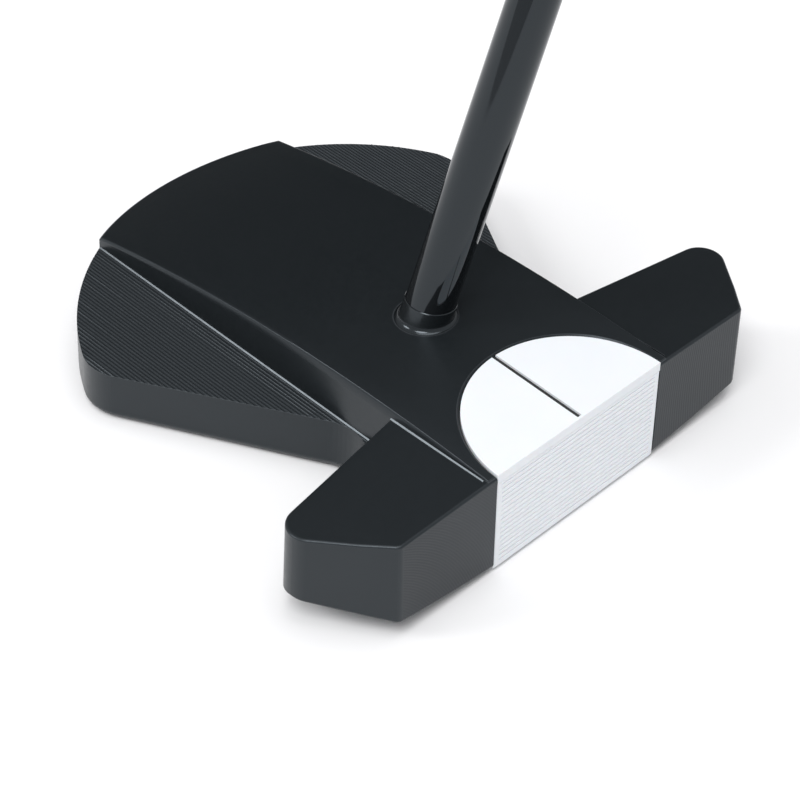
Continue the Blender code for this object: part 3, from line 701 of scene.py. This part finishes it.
def foot_strip(side, start, end, height, width):
    """Narrow bevel along the foot of the rib's side; height gives the lower surface at (x, y)."""
    wall = RIB_HALF_WIDTH
    sunk = 0.1 * MM
    rings = []
    for y in spread(start, end, 8):
        floor = height(wall, y)
        section = [(wall - sunk, floor - sunk), (wall - sunk, floor + width), (wall, floor + width)]
        section += [(wall + width, floor), (wall + width, floor - sunk)]
        rings.append([(side * x, y, z) for x, z in section])
    return lofted(rings)


def boss_shape():
    """Collar round the shaft, hollowed out into the top of the rib."""
    hollow = 1.0 * MM
    chamfer = 0.12 * MM
    sunk = 0.02 * MM
    bore = SHAFT_TIP_RADIUS + 0.05 * MM
    bore_depth = 2 * MM
    steps = 8
    segments = 96
    rim_centre = SHAFT_FOOT + SHAFT_LINE * BOSS_HEIGHT
    rim_normal = (SHAFT_LINE + Vector((0, 0, 1.5))).normalized()      # between the shaft's line and upright

    def on_rim(start, below):
        """The point on a line along the shaft that lies so far below the rim's plane."""
        rise = (rim_centre - start).dot(rim_normal) / SHAFT_LINE.dot(rim_normal)
        return start + SHAFT_LINE * (rise - below)

    columns = []
    for x, y in circle(1, segments):
        inner, shoulder, outer = (to_shaft @ Vector((x * radius, y * radius, 0))
                                  for radius in (bore, BOSS_RADIUS - chamfer, BOSS_RADIUS))
        foot = outer
        for _ in range(4):               # each round brings it closer to the curved top
            foot = foot + SHAFT_LINE * ((rib_top(foot.y) - foot.z) / SHAFT_LINE.z)
        away = foot - SHAFT_FOOT
        end = foot + Vector((away.x, away.y, 0)).normalized() * hollow
        end.z = rib_top(end.y) - sunk
        start = foot + SHAFT_LINE * hollow
        column = [to_shaft @ Vector((x * bore, y * bore, -bore_depth)), on_rim(inner, 0)]
        column += [on_rim(shoulder, 0), on_rim(outer, chamfer)]
        for t in spread(0, 1, steps):
            column.append(start * (1 - t) ** 2 + foot * 2 * t * (1 - t) + end * t ** 2)
        columns.append(column)
    return lofted(list(zip(*columns)), closed=True)


def pocket_cutters():
    """Half-round pocket with a chamfered rim, and the slot behind the face."""
    radius = HALF_BALL + DOME_GAP
    floor = dome_low.z - 0.2 * MM
    shoulder = RIB_CREST_Z - POCKET_CHAMFER
    above = 3 * MM
    overlap = 1 * MM
    clear = 9 * MM                       # reach of the slot past the face and below the sole

    def outline(reach):
        ahead = FACE_Y - 5 * MM
        return [(-reach, ahead), (reach, ahead)] + arc((0, DOME_CENTRE_Y), reach, 0, math.pi, 96)

    rings = [at_height(outline(radius), floor), at_height(outline(radius), shoulder)]
    rings.append(at_height(outline(radius + above), shoulder + above))
    dome = solid("dome_pocket", [lofted(rings)])
    front = FACE_Y - clear
    corners = [(-radius, front), (radius, front), (radius, insert_high.y), (-radius, insert_high.y)]
    slot = [at_height(corners, z) for z in (-clear, floor + overlap)]
    return [dome, solid("face_slot", [lofted(slot)])]


def measured(node):
    """Radius, length and lower end of a round CAD piece that stands upright."""
    low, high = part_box(node)
    middle = (low + high) / 2
    return (high.x - low.x) / 2, high.z - low.z, Vector((middle.x, middle.y, low.z))


def port_cutters():
    """Counterbores of the two weights and the holes above them for their shanks."""
    clearance = 0.2 * MM
    below = -5 * MM
    made = []
    for node in ("toe_weight", "heel_weight"):
        radius, length, foot = measured(node)
        port = radius + clearance
        hole = WEIGHT_SHANK_RADIUS + clearance
        seat = foot.z + WEIGHT_SEAT_DEPTH
        top = foot.z + length + clearance
        profile = [(0, below), (port, below), (port, seat), (hole, seat), (hole, top), (0, top)]
        made.append(solid("port", [turned(profile)], Matrix.Translation((foot.x, foot.y, 0))))
    return made


def plate_inset():
    """How far the plate lies inside the rim of the fan."""
    return REAR_Y - plate_high.y


def recess_cutter():
    """Recess of the sole plate, with a broken edge."""
    gap = 0.15 * MM
    edge = 0.35 * MM
    below = 1 * MM
    depth = plate_high.z + 0.3 * MM
    rings = []
    for grown, z in ((gap + edge + below, -below), (gap, edge), (gap, depth)):
        rings.append(at_height(mirrored(fan_half(plate_inset() - grown, plate_low.y - grown)), z))
    return solid("plate_recess", [lofted(rings)])


def head_pieces(black, face_black, polished_surface):
    """The head: its three solids with what is cut from them, and the polished collar and bevels."""
    bar = cut(solid("bar", [bar_shape()]), pocket_cutters() + port_cutters())
    rib = cut(solid("rib", [rib_shape()]), pocket_cutters())
    fan = cut(solid("fan", [fan_shape()]), [recess_cutter()] + port_cutters())
    polished = [boss_shape()]
    wing_strip = (FACE_Y + 2.4 * MM, WING_BACK_Y - 0.1 * MM, wing_top, 0.24 * MM)
    fan_strip = (WING_BACK_Y, FAN_CENTRE_Y + 46 * MM, fan_top, 0.22 * MM)
    for side in (-1, 1):
        polished += [foot_strip(side, *wing_strip), foot_strip(side, *fan_strip)]
    bright = solid("polished", polished)
    bright_faces = len(bright.data.polygons)
    head = joined("head_shell", [bar, rib, fan, bright])
    finished(head, black, "head", "head_body")
    head.data.materials.append(face_black)
    head.data.materials.append(polished_surface)
    for face in head.data.polygons[-bright_faces:]:
        face.material_index = 2
    forward = Vector((0, -math.cos(LOFT), math.sin(LOFT)))
    nearly_one = 0.9995
    for face in head.data.polygons:
        if face.normal.dot(forward) > nearly_one and face.center.y < FACE_Y + 3 * MM:
            face.material_index = 1
    return head


# ---------------------------------------------------------------- white face and dome

def dome_piece(white):
    """Half-round white top with a softened rim and the groove of the sight line."""
    outline = arc((0, DOME_CENTRE_Y), HALF_BALL, 0, math.pi, 96)
    made = raised(outline, lambda x, y: dome_low.z, lambda x, y: dome_high.z)
    for vertex in made.verts:
        if vertex.co.y < DOME_CENTRE_Y + TINY:
            vertex.co.y = FACE_Y + vertex.co.z * math.tan(LOFT)
    upper = dome_high.z - (dome_high.z - dome_low.z) / 4
    rim = [edge for edge in made.edges if all(v.co.z > upper for v in edge.verts)
           and any(v.co.z < upper for face in edge.link_faces for v in face.verts)]
    bmesh.ops.bevel(made, geom=rim, offset=0.12 * MM, offset_type="OFFSET", segments=3, profile=0.5,
                    affect="EDGES", clamp_overlap=False)
    dome = solid("white_dome", [made])
    corners = [(-SIGHT_HALF_WIDTH, SIGHT_START_Y), (SIGHT_HALF_WIDTH, SIGHT_START_Y)]
    corners += [(SIGHT_HALF_WIDTH, 0), (-SIGHT_HALF_WIDTH, 0)]
    above = 2 * MM
    groove = [at_height(corners, dome_high.z + z) for z in (-SIGHT_DEPTH, above)]
    cut(dome, [solid("groove", [lofted(groove)])])
    return finished(dome, white, "head", "alignment_dome", 30)


def sight_fill(ink):
    """Black paint in the bottom of the sight groove, a little hollow across."""
    gap = 0.01 * MM
    half = SIGHT_HALF_WIDTH - gap
    top = dome_high.z - 0.45 * MM
    bottom = dome_high.z - SIGHT_DEPTH + gap
    sag = 0.12 * MM
    end = DOME_CENTRE_Y + HALF_BALL - 2 * gap
    section = [(-half, bottom), (half, bottom)]
    section += [(half * s, top - sag * (1 - s * s)) for s in (1, 0.6, 0.2, -0.2, -0.6, -1)]
    rings = [[(x, y, z) for x, z in section] for y in (SIGHT_START_Y + gap, end)]
    piece = solid("sight_line_fill", [lofted(rings)])
    return finished(piece, ink, "head", "sight_line")


def insert_rows():
    """Heights of the face's rows of points from the top down, with the share of a groove's depth."""
    top = dome_low.z - 0.06 * MM
    first_groove = top - 0.25 * MM
    half = GROOVE_WIDTH / 2
    half_floor = half * 0.45
    rows = [(top, 0)]
    for i in range(GROOVE_COUNT):
        middle = first_groove - (i + 0.5) * GROOVE_PITCH
        rows += [(middle + half, 0), (middle + half_floor, 1), (middle - half_floor, 1), (middle - half, 0)]
    return rows + [(0.9 * MM, 0)]


def insert_piece(white):
    """Face insert: level grooves across the middle, plain margins, bevelled sides and foot."""
    bevel = 0.3 * MM
    foot = 0.25 * MM
    lift = 0.05 * MM                     # keeps it clear of the ground
    margin = 1.3 * MM
    run_out = 0.12 * MM
    side = HALF_BALL + 0.1 * MM
    ends = side - margin
    columns = [-side, -side + bevel, -ends, -ends + run_out, ends - run_out, ends, side - bevel, side]
    grooved = (3, 4)
    outer = (0, len(columns) - 1)
    back_y = insert_high.y - 1 * MM
    rows = insert_rows()
    shape = bmesh.new()
    front = []
    back = []
    for z, share in rows + [(0, 0)]:
        at_foot = z == 0
        heights = [max(z, sole_height(x, FACE_Y) + lift) for x in columns]
        depths = [GROOVE_DEPTH * share if i in grooved else 0 for i in range(len(columns))]
        for i in outer:
            depths[i] = bevel * 0.8
        if at_foot:
            depths = [foot] * len(columns)
        places = [(x, FACE_Y + height * math.tan(LOFT) + depth, height)
                  for x, height, depth in zip(columns, heights, depths)]
        front.append([shape.verts.new(place) for place in places])
        back.append([shape.verts.new((x, back_y, height)) for x, y, height in places])
    last_row, last_column = len(rows), len(columns) - 1
    for grid in (front, back):
        for i in range(last_row):
            for j in range(last_column):
                shape.faces.new((grid[i][j], grid[i][j + 1], grid[i + 1][j + 1], grid[i + 1][j]))
    for i in range(last_row):
        for j in outer:
            shape.faces.new((front[i][j], front[i + 1][j], back[i + 1][j], back[i][j]))
    for j in range(last_column):
        for i in (0, last_row):
            shape.faces.new((front[i][j], front[i][j + 1], back[i][j + 1], back[i][j]))
    piece = solid("grooved_face", [shape])
    return finished(piece, white, "head", "face_insert", 25)


# ---------------------------------------------------------------- sole

def hexagon_cutter(radius, top, place):
    """Hex socket with a broken edge, from the height 0 up to top."""
    edge = 0.15 * MM
    below = 1 * MM
    section = ((radius + below, -below), (radius + edge, 0), (radius, edge), (radius, top))
    return solid("hexagon", [lofted([at_height(circle(reach, 6), z) for reach, z in section])], place)


def weight_piece(side, metal):
    """Weight with a faced and ringed head, a hex socket and a threaded shank."""
    radius, length, foot = measured(f"{side}_weight")
    place = Matrix.Translation(foot)
    head_height = 3.0 * MM
    shank = WEIGHT_SHANK_RADIUS
    root = shank - 0.5 * MM
    pitch = 1.0 * MM
    ring_depth = 0.2 * MM
    ring_slope = 0.15 * MM
    ring_width = 0.55 * MM
    profile = [(0, 0), (radius * 0.62, 0)]
    for share in (0.66, 0.74):
        ring = radius * share
        profile += [(ring, 0), (ring + ring_slope, ring_depth)]
        profile += [(ring + ring_width - ring_slope, ring_depth), (ring + ring_width, 0)]
    profile += [(radius - 0.5 * MM, 0), (radius - 0.15 * MM, 0.12 * MM), (radius, 0.5 * MM)]
    profile += [(radius, head_height - 0.2 * MM), (radius - 0.2 * MM, head_height)]
    start = head_height + 1.4 * MM
    profile += [(root, head_height), (root, start)]
    for i in range(int((length - start) / pitch)):
        base = start + i * pitch
        profile += [(shank - 0.55 * MM, base + 0.1 * MM), (shank, base + 0.45 * MM), (shank, base + 0.6 * MM)]
    profile += [(shank - 0.6 * MM, length), (0, length)]
    piece = solid(f"{side}_weight_turned", [turned(profile)], place)
    cut(piece, [hexagon_cutter(2.6 * MM, 2.2 * MM, place)])
    return finished(piece, metal, f"{side}_weight", f"{side}_weight", 30)


def plate_outline(inset):
    return mirrored(fan_half(plate_inset() + inset, plate_low.y + inset))


def plate_piece(metal):
    """Sole plate with broken edges, a shallow milled panel and four counterbores."""
    edge = 0.3 * MM
    shape = raised(plate_outline(0), lambda x, y: 0.0, lambda x, y: plate_high.z, foot=edge, segments=3)
    piece = solid("sole_plate_milled", [shape])
    margin = 6.2 * MM
    spread_out = 0.6 * MM
    panel = [at_height(plate_outline(margin - spread_out), -0.5 * MM)]
    panel.append(at_height(plate_outline(margin), 0.25 * MM))
    cutters = [solid("panel", [lofted(panel)])]
    below = 1 * MM
    sink = 0.3 * MM
    top = 1.9 * MM
    for number in range(1, 5):
        radius, _, foot = measured(f"sole_plate_screw_{number}")
        bore = radius + 0.15 * MM
        profile = [(0, -below), (bore + below + sink, -below), (bore, sink), (bore, top), (0, top)]
        place = Matrix.Translation((foot.x, foot.y, 0))
        cutters.append(solid("counterbore", [turned(profile, SCREW_SEGMENTS)], place))
    cut(piece, cutters)
    return finished(piece, metal, "head", "sole_plate", 30)


def screw_piece(number, metal):
    """Socket-head screw with a broken edge and a plain shank."""
    node = f"sole_plate_screw_{number}"
    radius, length, foot = measured(node)
    place = Matrix.Translation(foot)
    head_height = 1.3 * MM
    shank = 1.4 * MM
    profile = [(0, 0), (radius - 0.35 * MM, 0), (radius - 0.08 * MM, 0.1 * MM), (radius, 0.35 * MM)]
    profile += [(radius, head_height), (shank, head_height), (shank, length), (0, length)]
    piece = solid(f"screw_{number}_turned", [turned(profile, SCREW_SEGMENTS)], place)
    cut(piece, [hexagon_cutter(1.2 * MM, 0.8 * MM, place)])
    return finished(piece, metal, "head", node, 30)


# ---------------------------------------------------------------- shaft and grip

def shaft_piece(surface):
    """Parallel tube at the foot, tapering out to the butt."""
    wall = 0.5 * MM
    rounding = 0.1 * MM
    stations = [(SHAFT_TIP_RADIUS, -SHAFT_BURIED), (SHAFT_TIP_RADIUS, TAPER_START)]
    stations += [(SHAFT_BUTT_RADIUS, TAPER_END), (SHAFT_BUTT_RADIUS, SHAFT_TOP - rounding)]
    stations += [(SHAFT_BUTT_RADIUS - rounding, SHAFT_TOP), (SHAFT_BUTT_RADIUS - wall, SHAFT_TOP)]
    stations += [(SHAFT_BUTT_RADIUS - wall, TAPER_END), (SHAFT_TIP_RADIUS - wall, TAPER_START)]
    stations += [(SHAFT_TIP_RADIUS - wall, -SHAFT_BURIED)]
    piece = solid("shaft_tube", [turned(stations, 128, closed=True)], to_shaft)
    return finished(piece, surface, "head", "shaft", 30)


def between(ends, share):
    return ends[0] + (ends[1] - ends[0]) * share


def grip_section(height, shrink=0.0):
    """Cross-section of the grip: round behind, flat on the side away from the player (-X)."""
    rise = fade(height, GRIP_MOUTH, GRIP_TOP)
    swell = rise * rise * (3 - 2 * rise)
    half_width = between(GRIP_HALF_WIDTH, rise) - shrink
    behind = between(GRIP_BEHIND, swell) - shrink
    flat = between(GRIP_FLAT, rise) - shrink
    bulge = 1.22                         # of the oval that the flat side cuts off
    soft = 1.2 * MM                      # rounding where the oval meets the flat side
    ring = []
    for cosine, sine in circle(1, GRIP_POINTS):
        x = cosine * (behind if cosine > 0 else flat * bulge)
        over = -flat - x
        if over > -soft:
            x = -flat + soft * 0.5 * max(0.0, 1 - (over + soft) / (2 * soft)) ** 2
        ring.append((x, half_width * sine))
    return ring


def grip_pattern(height, share):
    """Depth of the moulded pattern at a share of the way round, in bands with plain rings between them.

    Fine ribs cross the flat side, small diamonds cover the round one, and the two long corners are plain."""
    from_mouth = height - GRIP_MOUTH
    band = 66 * MM
    plain = 6 * MM
    in_band = (from_mouth - plain) % band
    if from_mouth < 2 * plain or from_mouth > GRIP_LENGTH - 2 * plain or in_band < plain:
        return 0.0
    towards_flat = abs(math.sin(math.pi * share))
    if towards_flat > 0.87:
        return 0.22 * MM * max(0.0, math.cos(2 * math.pi * from_mouth / (2.4 * MM))) ** 2
    if towards_flat > 0.70:
        return 0.0
    diamonds_round = 18
    wave = math.cos(2 * math.pi * from_mouth / (4.4 * MM)) * math.cos(2 * math.pi * diamonds_round * share)
    return 0.3 * MM * max(0.0, wave) ** 0.7


def grip_piece(surface):
    """Grip with a rolled mouth and its moulded pattern, hollow for the shaft and its tape."""
    bore = circle(SHAFT_BUTT_RADIUS + 0.9 * MM, GRIP_POINTS)
    rings = [at_height(bore, GRIP_TOP), at_height(bore, GRIP_MOUTH)]
    lip = 1.2 * MM
    for share in (0.0, 0.3, 0.7, 1.0):
        turn = share * math.pi / 2
        height = GRIP_MOUTH + lip * (1 - math.cos(turn))
        rings.append(at_height(grip_section(height, lip / 2 * (1 - math.sin(turn))), height))
    for height in spread(GRIP_MOUTH + 1.5 * lip, GRIP_TOP, 440):
        ring = []
        for i, (x, y) in enumerate(grip_section(height)):
            scale = 1 - grip_pattern(height, i / GRIP_POINTS) / math.hypot(x, y)
            ring.append((x * scale, y * scale, height))
        rings.append(ring)
    piece = solid("grip_moulded", [lofted(rings, closed=True)], to_shaft)
    return finished(piece, surface, "head", "grip", 60)


def cap_piece(surface):
    """End cap with a rounded edge, a shallow dished top and a vent hole."""
    bottom = GRIP_TOP + PIECE_GAP
    edge = 0.9 * MM
    dish = AXIS_END - 0.4 * MM
    vent = circle(1.2 * MM, GRIP_POINTS)
    rings = [at_height(vent, AXIS_END - 0.5 * MM), at_height(vent, bottom)]
    rings.append(at_height(grip_section(GRIP_TOP), bottom))
    for share in (0.0, 0.25, 0.5, 0.75, 1.0):
        turn = share * math.pi / 2
        shrunk = grip_section(GRIP_TOP, edge * (1 - math.cos(turn)))
        rings.append(at_height(shrunk, AXIS_END - edge + edge * math.sin(turn)))
    rings.append(at_height(grip_section(GRIP_TOP, 2.2 * MM), AXIS_END))
    rings.append(at_height(grip_section(GRIP_TOP, 2.8 * MM), dish))
    rings.append(at_height(circle(2.2 * MM, GRIP_POINTS), dish))
    piece = solid("grip_end_cap", [lofted(rings, closed=True)], to_shaft)
    return finished(piece, surface, "head", "grip_cap", 30)


# ---------------------------------------------------------------- the club

def repaint(node, surface):
    data = frame["nodes"][node].data
    data.materials.clear()
    data.materials.append(surface)


def build_club():
    white = white_urethane()
    head_pieces(black_anodised(), milled_face(), polished_black())
    dome_piece(white)
    insert_piece(white)
    sight_fill(paint("sight_line_black", (0.012, 0.012, 0.013), 0.5))
    for side in ("toe", "heel"):
        low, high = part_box(f"{side}_weight")
        metal = turned_metal(f"weight_steel_{side}", (0.33, 0.33, 0.34), 0.26, (low + high) / 2)
        weight_piece(side, metal)
        repaint(f"{side}_weight_seal", rubber(f"seal_rubber_{side}", (0.02, 0.02, 0.02), 0.6))
    plate_piece(brushed_metal("plate_steel", (0.13, 0.13, 0.135), 0.30, (0.03, 1, 1), (0.4, 0.4, 0.41)))
    screw_metal = brushed_metal("screw_steel", (0.07, 0.07, 0.075), 0.32, (1, 1, 0.1), (0.3, 0.3, 0.3))
    for number in range(1, 5):
        screw_piece(number, screw_metal)
    shaft_piece(gloss_black())
    grip_piece(rubber("grip_rubber", (0.022, 0.022, 0.024), 0.62))
    cap_piece(rubber("cap_plastic", (0.018, 0.018, 0.02), 0.42))
    repaint("insert_pad", rubber("pad_elastomer", (0.10, 0.10, 0.10), 0.7))
    repaint("sole_gasket", rubber("gasket_elastomer", (0.09, 0.09, 0.09), 0.75))
    repaint("shaft_tip_plug", cork())
    repaint("grip_tape", paper_tape())


# ---------------------------------------------------------------- studio

def floor_disc():
    """Large pale floor, a hair below the sole."""
    inner, reach = 0.5, 6
    mesh = bpy.data.meshes.new("floor")
    shape = turned([(0, 0), (inner, 0), (reach, 0)])
    bmesh.ops.recalc_face_normals(shape, faces=shape.faces[:])
    for face in shape.faces:
        if face.normal.z < 0:
            face.normal_flip()
    shape.to_mesh(mesh)
    shape.free()
    floor = bpy.data.objects.new("floor", mesh)
    floor.location.z = -0.05 * MM
    bpy.context.scene.collection.objects.link(floor)
    m = Nodes("studio_paper")
    m.base(Roughness=0.9, Specular_IOR_Level=0.1)
    m.tint(m.noise(6, detail=2), (0.88, 0.88, 0.885), (0.89, 0.89, 0.895))
    mesh.materials.append(m.material)


def soft_light(name, toward, strength, spread_angle):
    """Distant light as wide as a large softbox; toward points from the club to the light."""
    data = bpy.data.lights.new(name, "SUN")
    data.energy = strength
    data.angle = math.radians(spread_angle)
    lamp = bpy.data.objects.new(name, data)
    lamp.rotation_mode = "QUATERNION"
    lamp.rotation_quaternion = Vector(toward).to_track_quat("Z", "Y")
    bpy.context.scene.collection.objects.link(lamp)


def sky():
    """Lights the club from all round but for a dim patch behind the heel; the backdrop itself is plain."""
    world = bpy.data.worlds.new("studio")
    world.use_nodes = True
    tree = world.node_tree
    place = tree.nodes.new("ShaderNodeTexCoord")
    toward = tree.nodes.new("ShaderNodeVectorMath")
    toward.operation = "DOT_PRODUCT"
    dim_patch = Vector((0.62, 0.74, 0.26)).normalized()
    toward.inputs[1].default_value = dim_patch
    ramp = tree.nodes.new("ShaderNodeValToRGB")
    stops = [(0.0, 1.0), (0.60, 0.95), (0.82, 0.75), (0.90, 0.15), (0.96, 0.03)]
    cool = 1.02
    set_stops(ramp.color_ramp, [(nearness, (level, level, level * cool)) for nearness, level in stops])
    tree.links.new(place.outputs["Generated"], toward.inputs[0])
    tree.links.new(toward.outputs["Value"], ramp.inputs["Fac"])
    lighting = tree.nodes["Background"]
    lighting.inputs["Strength"].default_value = 0.60
    tree.links.new(ramp.outputs["Color"], lighting.inputs["Color"])
    backdrop = tree.nodes.new("ShaderNodeBackground")
    backdrop.inputs["Color"].default_value = (0.95, 0.95, 0.96, 1)
    path = tree.nodes.new("ShaderNodeLightPath")
    choice = tree.nodes.new("ShaderNodeMixShader")
    tree.links.new(path.outputs["Is Camera Ray"], choice.inputs["Fac"])
    tree.links.new(lighting.outputs["Background"], choice.inputs[1])
    tree.links.new(backdrop.outputs["Background"], choice.inputs[2])
    tree.links.new(choice.outputs["Shader"], tree.nodes["World Output"].inputs["Surface"])
    bpy.context.scene.world = world


def studio():
    """Floor, sky and three soft lights: one from the toe and front, one overhead, one from behind the toe."""
    floor_disc()
    sky()
    soft_light("key", (-0.70, -0.30, 1.38), 1.45, 30)
    soft_light("top", (0.15, 0.0, 1.6), 0.6, 32)
    soft_light("rim", (-0.83, 0.67, 0.74), 0.8, 20)
    bpy.context.scene.view_settings.view_transform = "Standard"


def camera():
    """Long lens from the toe side, in front and above, aimed so that the shaft leaves at the top."""
    azimuth = math.radians(-47.9433)
    elevation = math.radians(39.783)
    roll = math.radians(4.1124)
    back = Vector((math.sin(azimuth) * math.cos(elevation), -math.cos(azimuth) * math.cos(elevation),
                   math.sin(elevation)))
    level = Vector((math.cos(azimuth), math.sin(azimuth), 0))
    up = back.cross(level)
    right = level * math.cos(roll) + up * math.sin(roll)
    up = up * math.cos(roll) - level * math.sin(roll)
    data = bpy.data.cameras.new("camera")
    data.lens = 111.848
    data.sensor_width = 36
    data.shift_x = -0.02982
    data.shift_y = -0.19255
    data.clip_start = 0.01
    eye = bpy.data.objects.new("camera", data)
    place = Matrix.Translation((-0.2550, -0.23876, 0.32301))
    eye.matrix_world = place @ Matrix((right, up, back)).transposed().to_4x4()
    bpy.context.scene.collection.objects.link(eye)
    bpy.context.scene.camera = eye


build_club()
studio()
camera()
